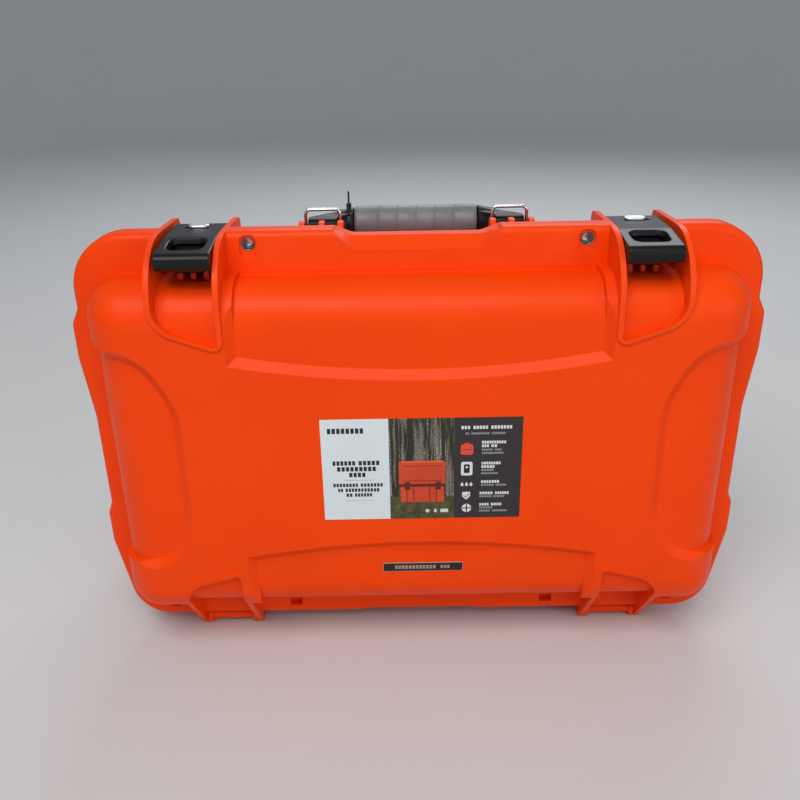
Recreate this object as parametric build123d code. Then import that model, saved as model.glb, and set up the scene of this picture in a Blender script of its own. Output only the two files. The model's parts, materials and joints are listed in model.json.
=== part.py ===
"""Hard protective carrying case for a drone, standing on its hinge side.

Axes: X runs along the length, Z is up and Y runs through the depth. The lid
faces -Y and the deep base is at +Y. The origin is at the bottom centre of the
closed case. All sizes are in millimetres.
"""
import os
from math import radians, tan

from build123d import *

os.makedirs("parts", exist_ok=True)

# ---------------------------------------------------------------- driving sizes
LENGTH = 559.0                    # over the side bumpers
DEPTH = 229.0                     # lid ribs to base feet
LID_DEPTH = 60.0                  # parting plane to the lid's front field
RIB = 4.5                         # thickness of the latch and hinge ribs
BEAD = 3.2                        # width of the bead that closes each pair of ribs
RIB_PROUD = 1.5                   # rib beads above the lid's front field
RIB_GAP = 0.5                     # between a lid rib and the base rib beside it
SEAM = -DEPTH / 2 + LID_DEPTH + RIB_PROUD       # Y of the parting plane
BASE_DEPTH = DEPTH - LID_DEPTH - RIB_PROUD      # parting plane to the back feet
SEAM_GAP = 0.3                    # the lid rim stays this far off the base rim
DRAFT = 2.0                       # mould draft of the base walls, degrees
WALL = 4.5                        # shell wall

RIM_TOP = 377.0                   # flange round both halves
RIM_BOTTOM = 16.0
RIM_HALF = 273.5
RIM_THICK = 12.0
RIM_ROUND = 6.0
BUMPER_TOP_HALF = LENGTH / 2
BUMPER_LOW_HALF = 277.5

BODY_HALF = 257.0                 # walls inside the flange
BODY_TOP = 346.5
BODY_BOTTOM = 47.0
BODY_CORNER = 27.0
FRONT_ROUND = 34.0                # rounding from the walls into the lid front
BACK_ROUND = 26.0                 # rounding from the walls into the base back
FOOT_RISE = 2.0                   # back feet above the base back

PANEL_DROP = 6.0                  # sunk panels below the lid's front field
PANEL_STEP = 3.5                  # and below the top and bottom walls
LEDGE_SLOPE = 50.0                # slope of the ledges round the sunk panels
PANEL_HALF = 140.0                # half width of the upper and lower panels
PANEL_ARC_TOP = 278.0             # middle of the upper panel's curved ledge
PANEL_ARC_LOW = 117.5             # middle of the lower panel's curved ledge
PANEL_ARC_RISE = 12.5             # how far each ledge's ends stand off its middle

LATCH_RIBS = (148.0, 203.5)       # outer faces of a pair, from the middle
HINGE_RIBS = (149.5, 206.5)
LATCH_BAY = (294.0, 314.0, 420.0) # heights of a bay's inner end, outer end and open end
HINGE_BAY = (98.0, 80.0, -40.0)
LATCH_RIB_REACH = 56.0            # base ribs behind the parting plane
LATCH_RIB_FOOT = 330.0            # the latch ribs start inside the base wall at this height
LATCH_RIB_ROUND = 49.0            # rounding of the lid latch ribs' upper front corner
HINGE_RIB_ROUND = 80.0            # rounding of the lid hinge ribs' lower front corner
HINGE_RIB_CORNER = 70.0           # height of that corner
SKID_REACH = 130.0                # base hinge ribs, on which the case stands
SKID_TOP = 60.0

HINGE_Z = 7.5                     # hinge axis, in the parting plane
KNUCKLE_R = 7.5
KNUCKLE_TOUCH = (-5.65, 2.57)     # where a lid hinge rib's edge runs onto its knuckle
BARREL_R = 4.6                    # barrel between a hinge's knuckles
PIN_R = 2.5
RUNNING = 0.05                    # radial clearance of a turning pin
BEYOND = 400.0                    # cutters reach this far, past every face

LATCH_PIVOT = (46.0, 359.0)       # from the parting plane, and height
LATCH_PIN_R = 2.0
LATCH_BODY = (152.9, 194.3)       # width of a latch, from the middle
LATCH_MID = sum(LATCH_BODY) / 2
LATCH_WALL = 3.0
LEVER_TOP = 375.2
KEEPER_TOP = 349.5                # teeth that the claw closes over

HANDLE_PIVOT = (20.0, 366.0)
GRIP_PLACE = (64.0, 366.0)        # the folded handle's grip
GRIP_R = 14.0
BAR_R = 9.0                       # bar inside the grip
GRIP_LENGTH = 106.0
GROOVE_PITCH = 15.8               # between the grip's five grooves
ARM_LOW = 359.5                   # underside and top of the handle's arms
ARM_TOP = 376.0
SHOULDER = [                      # from the middle, from the seam, height and radius
    (52.2, 64.0, 366.0, 13.3), (80.0, 45.0, 368.2, 7.6)]
LUGS = (61.0, 76.0, 92.0)         # handle lugs, from the middle
LUG = 4.5
LUG_GAP = 0.4                     # between a lug and the knuckle beside it
HANDLE_EYES = (64.4, 88.6)        # width of each end block of the handle
RING_PIVOT = (37.5, 369.5)
RING_LEGS = (62.4, 90.6)
RING_RISE = 13.5
RING_WIRE_R = 1.4

TIE_PLACE = (61.5, 366.0)         # cable tie's centre, like the pivots
TIE_R = 14.0
TIE_TOP = 393.0

EYELET_PLACE = (131.5, 367.0)     # padlock holes: from the middle, and height
EYELET_BORE_R = 4.2
EYELET_R = 5.6
BOSS_INNER = 119.0                # inner end of the block round each padlock hole
RIM_ARCH = (63.0, 47.0, 4.5)      # low and high half width, and rise, of the flange's lower notch
RIM_SLOTS = [(116.0, 11.0, 8.0), (228.0, 9.0, 6.0)]     # from the middle, width and height
RIM_SLOT_Z = 29.0                 # blind slots low in the lid's flange
RIM_SLOT_DEPTH = 7.0
END_RIB_HEIGHTS = (290.0, 268.0, 113.0, 101.0)
END_RIB_HALF = 278.6              # outer edge of the ribs on the base's right end wall

SLIDER_Y = 16.0                   # lock slider, behind the parting plane
SLIDER_MID = LATCH_MID + 0.2
SLOT_MID = SLIDER_MID + 3.0       # slot in the latch, which the slider moves along
VALVE_PLACE = (-118.0, 34.0)      # from the middle, and from the parting plane
VALVE_R = 8.0
VALVE_SEAT = 347.0

GASKET_INSET = -1.5               # outer edge of the seal against the walls
GASKET_WIDTH = 4.0
GASKET_DEPTH = 3.2

FOAM_GAP = 0.6
FOAM_FRONT = 6.0                  # base foam starts this far behind the seam
POCKET_FLOOR = 96.0               # pockets in the base foam end this far behind the seam
FOAM_SPLIT = 20.0                 # X of the joint between the two foam sheets
AIRCRAFT_POCKETS = [              # centre X and Z, width, height and corner radius
    (-112, 228, 212, 150, 30), (-112, 100, 212, 50, 14)]
CONTROLLER_POCKETS = [
    (133, 256, 176, 100, 20), (72, 128, 42, 92, 8), (133, 128, 42, 92, 8), (194, 128, 42, 92, 8)]
LID_FOAM_FRONT = -4.0

LABEL = (160.0, 91.2, 0.4)
LABEL_MID = (0.8, 193.2)
NAMEPLATE = (68.0, 8.4, 0.8)
NAMEPLATE_MID = (1.4, 95.5)

SIDES = {"left": -1, "right": 1}


# ---------------------------------------------------------------- helpers
def behind_seam(distance):
    """Y of a plane at this distance behind the parting plane."""
    return SEAM + distance


def facing_lid(distance):
    """A sketch plane in X and Z whose normal points to the lid side."""
    return Plane(origin=(0, behind_seam(distance), 0), x_dir=(1, 0, 0), z_dir=(0, -1, 0))


def slab(face, start, end):
    """Solid of an X-Z face, between two distances behind the parting plane."""
    return extrude(facing_lid(end) * face, amount=end - start)


def profile_bar(face, x_low, x_high):
    """Solid of a face in Y and Z, where Y is from the parting plane, along X."""
    plane = Plane(origin=(x_low, SEAM, 0), x_dir=(0, 1, 0), z_dir=(1, 0, 0))
    return extrude(plane * face, amount=x_high - x_low)


def x_rod(radius, x_low, x_high, place):
    """Round bar along X; place is its distance from the parting plane and height."""
    plane = Plane(origin=(x_low, behind_seam(place[0]), place[1]), x_dir=(0, 1, 0), z_dir=(1, 0, 0))
    return extrude(plane * Circle(radius), amount=x_high - x_low)


def y_rod(radius, start, end, x, z):
    """Round bar along Y between two distances behind the parting plane."""
    return slab(Pos(x, z) * Circle(radius), start, end)


def z_rod(radius, low, high):
    """Upright round bar on the centre line of the pressure valve."""
    x, distance = VALVE_PLACE
    return extrude(Plane(origin=(x, behind_seam(distance), low)) * Circle(radius), amount=high - low)


def box_between(x_low, x_high, start, end, z_low, z_high):
    """Box given by its limits, with start and end behind the parting plane."""
    face = Pos((x_low + x_high) / 2, (z_low + z_high) / 2) * Rectangle(x_high - x_low, z_high - z_low)
    return slab(face, start, end)


def rounded_outline(half, low, high, corner):
    """Rounded rectangle in X and Z."""
    return Pos(0, (low + high) / 2) * RectangleRounded(2 * half, high - low, corner)


def polygon(points, radii):
    """Closed outline whose corners are rounded, a radius of 0 leaving one sharp."""
    face = make_face(Polyline(*points, close=True))
    for point, radius in zip(points, radii):
        if radius > 0:
            corner = face.vertices().sort_by_distance((point[0], point[1], 0))[0]
            face = fillet(corner, radius)
    return face


def mirrored(shape):
    """The same shape on the other side of the middle."""
    return mirror(shape, about=Plane.YZ)


def on_side(shape, side):
    """A shape made for the right side, moved to the side asked for."""
    return shape if side > 0 else mirrored(shape)


def both_sides(shape):
    """A shape and its mirror image."""
    return shape + mirrored(shape)


# ---------------------------------------------------------------- shell outlines
def rim_outline():
    """Outline of the flange, with a bumper bulge high and low on each end."""
    right = [
        (RIM_HALF, RIM_TOP, 46), (RIM_HALF, 316, 8), (BUMPER_TOP_HALF, 304, 12),
        (BUMPER_TOP_HALF, 274, 60), (RIM_HALF, 222, 60), (RIM_HALF, 137, 6),
        (BUMPER_LOW_HALF, 127, 10), (BUMPER_LOW_HALF, 98, 30), (262, RIM_BOTTOM, 34),
    ]
    left = [(-x, z, r) for x, z, r in reversed(right)]
    corners = right + left
    return polygon([(x, z) for x, z, r in corners], [r for x, z, r in corners])


def upper_panel():
    """Sunk panel between the latches, with a curved lower ledge."""
    half, ends = PANEL_HALF, PANEL_ARC_TOP + PANEL_ARC_RISE
    edge = Polyline((half, ends), (half, BEYOND), (-half, BEYOND), (-half, ends))
    arc = ThreePointArc((-half, ends), (0, PANEL_ARC_TOP), (half, ends))
    return make_face(edge + arc)


def lower_panel():
    """Sunk panel between the hinges, with a curved upper ledge."""
    half, ends = PANEL_HALF, PANEL_ARC_LOW - PANEL_ARC_RISE
    edge = Polyline((half, ends), (half, 0), (-half, 0), (-half, ends))
    arc = ThreePointArc((-half, ends), (0, PANEL_ARC_LOW), (half, ends))
    return make_face(edge + arc)


def side_panel():
    """Sunk panel on the right end of the lid, bounded by one long curve."""
    points = [(300, 316), (262, 305), (214, 282), (195.5, 245), (195.5, 150), (210, 112),
              (245, 104), (300, 104)]
    return polygon(points, [0, 20, 45, 45, 30, 25, 20, 0])


def bay(ribs, ends, wall, bead):
    """The D shape between a pair of ribs on the right, inside ribs and bead of these widths."""
    inner, outer = ribs
    inner_end, outer_end, open_end = ends
    slope = (outer_end - inner_end) / (outer - inner)
    shift = bead if open_end > inner_end else -bead
    points = [(inner + wall, open_end), (inner + wall, inner_end + wall * slope + shift),
              (outer - wall, outer_end - wall * slope + shift), (outer - wall, open_end)]
    return polygon(points, [0, 8 - wall, 26 - wall, 0])


def latch_bay(wall, bead):
    """The D shape beneath the right latch."""
    return bay(LATCH_RIBS, LATCH_BAY, wall, bead)


def hinge_bay(wall, bead):
    """The D shape above the right hinge."""
    return bay(HINGE_RIBS, HINGE_BAY, wall, bead)


# ---------------------------------------------------------------- shared shell work
def handle_dip():
    """Cutter for the dip in the flange in front of the handle."""
    def dip(half_top, half_low, low):
        points = [(-half_top, RIM_TOP + 20), (-half_top, RIM_TOP), (-half_low, low),
                  (half_low, low), (half_top, RIM_TOP), (half_top, RIM_TOP + 20)]
        return polygon(points, [0, 10, 14, 14, 10, 0])
    level = slab(dip(68, 51, 370), -0.5, RIM_THICK + 1)
    slope = loft([facing_lid(-0.5) * dip(68, 51, 370), facing_lid(-RIM_THICK - 1) * dip(68, 50, 361)])
    return level + slope


def rim_arch():
    """Cutter for the shallow notch in the flange's lower edge between the hinges."""
    low, high, rise = RIM_ARCH
    outline = polygon([(-low - rise, 0), (-low, RIM_BOTTOM), (-high, RIM_BOTTOM + rise),
                       (high, RIM_BOTTOM + rise), (low, RIM_BOTTOM), (low + rise, 0)],
                      [0, 8, 8, 8, 8, 0])
    return slab(outline, -RIM_THICK - 1, RIM_THICK + 1)


def eyelet_holes(start, end):
    """Holes through the flange for the steel padlock bushes."""
    return both_sides(y_rod(EYELET_R, start, end, *EYELET_PLACE))


def top_strip(x_low, x_high):
    """Space of the flange above the body between two distances from the middle."""
    return box_between(x_low, x_high, -RIM_THICK - 1, RIM_THICK + 1, BODY_TOP, RIM_TOP + 1)


def top_gap():
    """Space of the whole flange above the body, out to the outer latch ribs."""
    return top_strip(-LATCH_RIBS[1], LATCH_RIBS[1])


def eyelet_pocket():
    """Rounded pocket round each padlock hole in the lid flange's front face."""
    pocket = Pos(*EYELET_PLACE) * Pos(0, -1.5) * RectangleRounded(13, 17, 5)
    return both_sides(slab(pocket, -RIM_THICK - 3, -RIM_THICK + 2))


def lid_rim():
    """Lid half of the flange, rounded along its front edge."""
    rim = slab(rim_outline(), -RIM_THICK, -SEAM_GAP)
    return fillet(rim.faces().sort_by(Axis.Y)[0].edges(), RIM_ROUND)


def base_rim():
    """Base half of the flange, rounded along its rear edge."""
    rim = slab(rim_outline(), 0, RIM_THICK)
    return fillet(rim.faces().sort_by(Axis.Y)[-1].edges(), RIM_ROUND)


def make_bosses(rim, start, end):
    """Blocks of one flange half that hold the steel padlock bushes."""
    blocks = rim & both_sides(top_strip(BOSS_INNER, LATCH_RIBS[0]))
    return blocks - eyelet_holes(start - 1, end + 1) - gasket_ring(-1, GASKET_DEPTH)


def make_top_rim(rim):
    """Stretch of one flange half between the padlock bosses, with the handle dip."""
    bar = rim & top_strip(-BOSS_INNER, BOSS_INNER)
    return bar - handle_dip() - gasket_ring(-1, GASKET_DEPTH)


# ---------------------------------------------------------------- lid shell
def lid_body():
    """Rounded lid box with its sunk panels, still solid."""
    def rounded_box(half, low, high, corner, front, rounding):
        box = slab(rounded_outline(half, low, high, corner), -front, -SEAM_GAP)
        edges = box.faces().sort_by(Axis.Y)[0].edges()
        return fillet(edges, rounding)

    field = rounded_box(BODY_HALF, BODY_BOTTOM, BODY_TOP, BODY_CORNER, LID_DEPTH, FRONT_ROUND)
    sunk = rounded_box(BODY_HALF - PANEL_STEP, BODY_BOTTOM + PANEL_STEP, BODY_TOP - PANEL_STEP,
                       BODY_CORNER - 2, LID_DEPTH - PANEL_DROP, FRONT_ROUND - 3)
    sunk_front = LID_DEPTH - PANEL_DROP
    for panel in (upper_panel(), lower_panel(), side_panel(), mirrored(side_panel())):
        field -= slab(panel, -sunk_front, -SEAM_GAP)
        flare = extrude(facing_lid(-sunk_front) * panel, amount=PANEL_DROP + 1, taper=-LEDGE_SLOPE)
        field -= flare
    for panel in (latch_bay(RIB, BEAD), hinge_bay(RIB, BEAD)):
        field -= both_sides(slab(panel, -LID_DEPTH - 1, -SEAM_GAP))
    return field + sunk


def keeper_teeth():
    """Three small teeth under the right latch, which the claw closes over."""
    teeth = [box_between(x - 2, x + 2, -22, -RIM_THICK, BODY_TOP - 8, KEEPER_TOP)
             for x in (LATCH_MID - 10, LATCH_MID, LATCH_MID + 10)]
    return teeth[0] + teeth[1] + teeth[2]


def make_lid_latch_ribs(body):
    """Lid ribs that flank the right latch and close in a D on the front, with the teeth."""
    front = -LID_DEPTH - RIB_PROUD
    side = polygon([(-SEAM_GAP, 0), (front, 0), (front, RIM_TOP), (-SEAM_GAP, RIM_TOP)],
                   [0, 0, LATCH_RIB_ROUND, 0])
    ring = slab(latch_bay(0, 0) - latch_bay(RIB, BEAD), front, -SEAM_GAP)
    return (ring & profile_bar(side, 0, BEYOND)) + keeper_teeth() - body


def make_lid_hinge_ribs(body):
    """Lid ribs at the right hinge, which close in a D on the front and turn on the pin."""
    front = -LID_DEPTH - RIB_PROUD
    side = polygon([(-SEAM_GAP, BEYOND), (front, BEYOND), (front, HINGE_RIB_CORNER), KNUCKLE_TOUCH,
                    (-SEAM_GAP, HINGE_Z)], [0, 0, HINGE_RIB_ROUND, 0, 0])
    ring = slab(hinge_bay(0, 0) - hinge_bay(RIB, BEAD), front, -SEAM_GAP)
    ribs = ring & profile_bar(side, 0, BEYOND)
    for x_low in (HINGE_RIBS[0], HINGE_RIBS[1] - RIB):
        ribs += x_rod(KNUCKLE_R, x_low, x_low + RIB, (0, HINGE_Z))
    return ribs - body - lid_flange() - x_rod(PIN_R + RUNNING, 0, BEYOND, (0, HINGE_Z))


def lid_flange():
    """Lid half of the flange, open at the latches and hinges."""
    latch_gap = box_between(LATCH_RIBS[0] + RIB, LATCH_RIBS[1] - RIB, -RIM_THICK - 2, 1,
                            BODY_TOP - PANEL_STEP, RIM_TOP + 5)
    hinge_gap = box_between(HINGE_RIBS[0] + RIB, HINGE_RIBS[1] - RIB, -RIM_THICK - 2, 1,
                            RIM_BOTTOM - 5, RIM_BOTTOM + 2)
    return lid_rim() - both_sides(latch_gap) - both_sides(hinge_gap) - rim_arch()


def make_lid_shell(body):
    """Lid half of the case."""
    shell = lid_flange() + body
    inside = WALL + PANEL_STEP
    room = slab(rounded_outline(BODY_HALF - inside, BODY_BOTTOM + inside, BODY_TOP - inside,
                                BODY_CORNER - 6), -LID_DEPTH + PANEL_DROP + WALL, 1)
    room = fillet(room.faces().sort_by(Axis.Y)[0].edges(), FRONT_ROUND - 6)
    shell -= room + top_gap()
    for x, width, height in RIM_SLOTS:
        slot = box_between(x - width / 2, x + width / 2, -RIM_THICK - 1, -RIM_THICK + RIM_SLOT_DEPTH,
                           RIM_SLOT_Z - height / 2, RIM_SLOT_Z + height / 2)
        shell -= both_sides(slot)
    return shell


# ---------------------------------------------------------------- base shell
def draft_at(distance):
    """How far the base walls have drawn in at this distance behind the seam."""
    return distance * tan(radians(DRAFT))


def base_block(inset, depth, rounding):
    """Drafted block of the base, or of its room when inset by the wall."""
    outline = rounded_outline(BODY_HALF - inset, BODY_BOTTOM + inset, BODY_TOP - inset,
                              BODY_CORNER - inset * 0.7)
    plane = Plane(origin=(0, SEAM, 0), x_dir=(-1, 0, 0), z_dir=(0, 1, 0))
    block = extrude(plane * outline, amount=depth, taper=DRAFT)
    return fillet(block.faces().sort_by(Axis.Y)[-1].edges(), rounding)


def latch_ribs():
    """Pair of ribs at the right that carry a latch pin, standing on flange and wall."""
    reach = LATCH_RIB_REACH
    side = polygon([(0, LATCH_RIB_FOOT), (0, RIM_TOP), (reach, RIM_TOP - 2),
                    (reach + 6, LATCH_RIB_FOOT)], [0, 0, 7, 0])
    ribs = [profile_bar(side, x_low, x_low + RIB)
            for x_low in (LATCH_RIBS[0], LATCH_RIBS[1] - RIB)]
    return ribs[0] + ribs[1]


def base_flange():
    """Base half of the flange, open at the latches and hinges."""
    hinge_gap = box_between(HINGE_RIBS[0], HINGE_RIBS[1], -1, RIM_THICK + 1,
                            RIM_BOTTOM - 5, RIM_BOTTOM + 2)
    return base_rim() - both_sides(hinge_gap) - top_gap() - rim_arch()


def make_hinge_skids():
    """Ribs under the base that carry the right hinge pin and on which the case stands."""
    side = polygon([(0, SKID_TOP), (0, HINGE_Z), (0, 0), (SKID_REACH, 0),
                    (SKID_REACH + 22, SKID_TOP)], [0, 0, 0, 16, 0])
    inner = HINGE_RIBS[0] + RIB + RIB_GAP
    outer = HINGE_RIBS[1] - 2 * RIB - RIB_GAP
    ribs = [profile_bar(side, x_low, x_low + RIB) + x_rod(KNUCKLE_R, x_low, x_low + RIB, (0, HINGE_Z))
            for x_low in (inner, outer)]
    barrel = x_rod(BARREL_R, inner, outer + RIB, (0, HINGE_Z))
    web = box_between(inner, outer + RIB, 1, BARREL_R - 0.6, HINGE_Z, RIM_BOTTOM + 4)
    skids = ribs[0] + ribs[1] + barrel + web - base_block(0, BASE_DEPTH - FOOT_RISE, BACK_ROUND)
    return skids - base_flange() - x_rod(PIN_R, 0, BEYOND, (0, HINGE_Z))


def handle_lugs():
    """Three lugs at the right end of the handle, standing on the base's top wall."""
    y, z = HANDLE_PIVOT
    side = polygon([(y - 8, 335), (y - 8, z + 11), (y + 9, z + 11), (y + 15, 335)], [0, 7, 7, 0])
    lugs = [profile_bar(side, x - LUG / 2, x + LUG / 2) for x in LUGS]
    return lugs[0] + lugs[1] + lugs[2]


def back_feet():
    """Four low pads on the back, on which the case lies flat."""
    pads = [slab(Pos(x, z) * RectangleRounded(70, 34, 12), BASE_DEPTH - 4, BASE_DEPTH)
            for x in (-178, 178) for z in (105, 290)]
    joined = pads[0]
    for pad in pads[1:]:
        joined += pad
    return joined


def valve_boss():
    """Flat seat for the pressure valve on the base's top wall."""
    return z_rod(VALVE_R + 7, VALVE_SEAT - 6, VALVE_SEAT)


def gasket_ring(start, end):
    """Ring of the rubber seal, or the cutter for its groove."""
    outer_edge = GASKET_INSET + GASKET_WIDTH
    outer = rounded_outline(BODY_HALF + outer_edge, BODY_BOTTOM - outer_edge,
                            BODY_TOP + outer_edge, BODY_CORNER + outer_edge)
    inner = rounded_outline(BODY_HALF + GASKET_INSET, BODY_BOTTOM - GASKET_INSET,
                            BODY_TOP + GASKET_INSET, BODY_CORNER + GASKET_INSET)
    return slab(outer - inner, start, end)


def end_ribs():
    """Four short ribs on the right end wall."""
    ribs = [box_between(BODY_HALF - 6, END_RIB_HALF, RIM_THICK - 4, 46, z - 2, z + 2)
            for z in END_RIB_HEIGHTS]
    return ribs[0] + ribs[1] + ribs[2] + ribs[3]


def make_base_shell():
    """Deep half of the case."""
    depth = BASE_DEPTH - FOOT_RISE
    shell = base_flange() + base_block(0, depth, BACK_ROUND)
    shell += back_feet() + end_ribs() + valve_boss()
    shell -= base_block(WALL, depth - WALL, BACK_ROUND - 4)
    shell -= gasket_ring(-1, GASKET_DEPTH)
    shell -= z_rod(VALVE_R, VALVE_SEAT - 20, VALVE_SEAT + 1)
    return shell


def make_latch_ribs():
    """The right latch's ribs above the base wall, drilled for the latch pin."""
    ribs = latch_ribs() - base_block(0, BASE_DEPTH - FOOT_RISE, BACK_ROUND) - base_flange()
    return ribs - x_rod(LATCH_PIN_R, 0, BEYOND, LATCH_PIVOT) - gasket_ring(-1, GASKET_DEPTH)


def make_handle_lugs():
    """The right handle lugs above the base wall, drilled for the handle pin."""
    lugs = handle_lugs() - base_block(0, BASE_DEPTH - FOOT_RISE, BACK_ROUND)
    return lugs - x_rod(PIN_R, 0, BEYOND, HANDLE_PIVOT)


# ---------------------------------------------------------------- seal, foam, labels
def make_gasket():
    """Rubber seal in the groove of the base rim."""
    return gasket_ring(0, GASKET_DEPTH)


def foam_block():
    """The whole space of the base foam."""
    block = base_block(WALL + FOAM_GAP, BASE_DEPTH - FOOT_RISE - WALL - FOAM_GAP, BACK_ROUND - 4)
    return block - box_between(-BEYOND, BEYOND, -1, FOAM_FRONT, 0, BEYOND)


def make_foam_pad(foam):
    """Plain pad of foam behind the pockets."""
    return foam & box_between(-BEYOND, BEYOND, POCKET_FLOOR, BASE_DEPTH, 0, BEYOND)


def make_foam_sheet(foam, x_low, x_high, pockets):
    """Part of the front sheet of foam, with its pockets cut right through."""
    sheet = foam & box_between(x_low, x_high, 0, POCKET_FLOOR, 0, BEYOND)
    for x, z, width, height, corner in pockets:
        sheet -= slab(Pos(x, z) * RectangleRounded(width, height, corner), 0, POCKET_FLOOR + 1)
    return sheet


def make_lid_foam():
    """Foam pad that fills the lid."""
    inside = WALL + PANEL_STEP + FOAM_GAP
    outline = rounded_outline(BODY_HALF - inside, BODY_BOTTOM + inside, BODY_TOP - inside,
                              BODY_CORNER - 7)
    pad = slab(outline, -LID_DEPTH + PANEL_DROP + WALL + FOAM_GAP, LID_FOAM_FRONT)
    return fillet(pad.faces().sort_by(Axis.Y)[0].edges(), FRONT_ROUND - 6)


def make_label():
    """Printed sticker on the lid front."""
    width, height, thick = LABEL
    return slab(Pos(*LABEL_MID) * RectangleRounded(width, height, 1.5), -LID_DEPTH - thick, -LID_DEPTH)


def make_nameplate():
    """Small plate in the lower panel of the lid."""
    width, height, thick = NAMEPLATE
    front = -LID_DEPTH + PANEL_DROP
    return slab(Pos(*NAMEPLATE_MID) * RectangleRounded(width, height, 1), front - thick, front)


def make_eyelets(start, end):
    """Steel bushes of the two padlock holes in one flange."""
    x, z = EYELET_PLACE
    ring = Circle(EYELET_R) - Circle(EYELET_BORE_R)
    return both_sides(slab(Pos(x, z) * ring, start, end))


def make_valve_body():
    """Threaded body of the pressure valve, through the base's top wall."""
    flange = z_rod(VALVE_R + 4, VALVE_SEAT, VALVE_SEAT + 2)
    stem = z_rod(VALVE_R, VALVE_SEAT - 5, VALVE_SEAT)
    return flange + stem - z_rod(4, VALVE_SEAT - 6, VALVE_SEAT + 0.8)


def make_valve_cap():
    """Knurled cap of the pressure valve."""
    cap = z_rod(VALVE_R + 1, VALVE_SEAT + 2, VALVE_SEAT + 6)
    x, distance = VALVE_PLACE
    centre = Location((x, behind_seam(distance), 0))
    for turn in range(12):
        notch = Pos(VALVE_R + 1.6, 0, VALVE_SEAT + 4.5) * Cylinder(1.3, 3.4)
        cap -= centre * (Rot(0, 0, turn * 30) * notch)
    return cap


# ---------------------------------------------------------------- hinges and latches
def make_hinge_pin():
    """Steel pin of the right hinge."""
    return x_rod(PIN_R, HINGE_RIBS[0], HINGE_RIBS[1], (0, HINGE_Z))


def latch_outline():
    """Side outline of a latch: pull bar at the front, lever and pivot end."""
    points = [(-56.3, 370.4), (-56.3, 357.4), (-43, 357.4), (-37, 352), (40, 349.8), (57, 349.8),
              (57, 369), (28, LEVER_TOP), (-16, LEVER_TOP)]
    return polygon(points, [6.3, 6.4, 4, 3, 0, 9, 9, 30, 25])


def make_latch_body():
    """Moulded lever of the right latch, open underneath and with a window for the finger."""
    low, high = LATCH_BODY
    lever = profile_bar(latch_outline(), low, high)
    hollow = polygon([(-43, 340), (-43, 366.5), (-14, 371), (30, 371), (36, 366), (36, 340)],
                     [0, 0, 0, 4, 4, 0])
    lever -= profile_bar(hollow, low + LATCH_WALL, high - LATCH_WALL)
    window = Plane(origin=(LATCH_MID, behind_seam(-32.5), 366)) * RectangleRounded(24, 20, 5)
    lever -= extrude(window, amount=12, taper=-18)
    slot = Plane(origin=(SLOT_MID, behind_seam(SLIDER_Y), 365)) * RectangleRounded(18, 6, 2.9)
    lever -= extrude(slot, amount=20)
    lever -= x_rod(LATCH_PIN_R + RUNNING, low - 1, high + 1, LATCH_PIVOT)
    return lever


def make_latch_claw():
    """Claw under the front of the right latch."""
    hook = polygon([(-2, 371), (-14, 371), (-33, 364), (-33, 350.4), (-26, 350.4), (-24, 358),
                    (-12, 365), (-2, 365)], [0, 0, 0, 2, 2, 3, 4, 0])
    return profile_bar(hook, LATCH_MID - 11, LATCH_MID + 11)


def make_latch_pin():
    """Pivot pin of the right latch."""
    return x_rod(LATCH_PIN_R, LATCH_RIBS[0] + 0.5, LATCH_RIBS[1] - 0.5, LATCH_PIVOT)


def make_latch_slider():
    """Oval lock slider of the right latch: knob, stem and keeper plate."""
    def layer(width, depth, low, high):
        plane = Plane(origin=(SLIDER_MID, behind_seam(SLIDER_Y), low))
        return extrude(plane * RectangleRounded(width, depth, depth / 2 - 0.01), amount=high - low)
    seat = LEVER_TOP + 0.1
    ceiling = 370.6
    knob = layer(17, 10, seat, seat + 2.1)
    knob = fillet(knob.faces().sort_by(Axis.Z)[-1].edges(), 1.2)
    return knob + layer(11, 5.6, ceiling, seat) + layer(16, 9, ceiling - 1.6, ceiling)


# ---------------------------------------------------------------- handle
def handle_shoulder():
    """Slanted cone from the right end of the grip down to the arm."""
    sections = []
    for x, y, z, radius in SHOULDER:
        plane = Plane(origin=(x, behind_seam(y), z), x_dir=(0, 1, 0), z_dir=(1, 0, 0))
        sections.append(plane * Circle(radius))
    return loft(sections)


def make_handle_core():
    """Black U of the handle with its end blocks and hinge knuckles."""
    y, z = HANDLE_PIVOT
    grip_y = GRIP_PLACE[0]
    low, high = HANDLE_EYES
    block_y = y + 13.5
    plan = polygon([(high, block_y), (high, block_y + 9), (68, grip_y - 2), (64, grip_y + 9),
                    (52, grip_y + 9), (52, grip_y - 10), (low, block_y + 10.5), (low, block_y)],
                   [2, 8, 10, 8, 0, 6, 6, 2])
    arm = extrude(Plane(origin=(0, SEAM, ARM_LOW)) * plan, amount=ARM_TOP - ARM_LOW)
    gaps = [(LUGS[0] + LUG / 2 + LUG_GAP, LUGS[1] - LUG / 2 - LUG_GAP),
            (LUGS[1] + LUG / 2 + LUG_GAP, LUGS[2] - LUG / 2 - LUG_GAP)]
    for start, end in gaps:
        arm += x_rod(7.5, start, end, HANDLE_PIVOT)
        arm += box_between(start, end, y, block_y + 1, z - 5.5, z + 6)
    arm += handle_shoulder()
    arm -= x_rod(PIN_R + RUNNING, 0, BEYOND, HANDLE_PIVOT)
    arm -= x_rod(RING_WIRE_R + RUNNING, 0, BEYOND, RING_PIVOT)
    bar = x_rod(BAR_R, -GRIP_LENGTH / 2, GRIP_LENGTH / 2, GRIP_PLACE)
    return both_sides(arm) + bar


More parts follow.
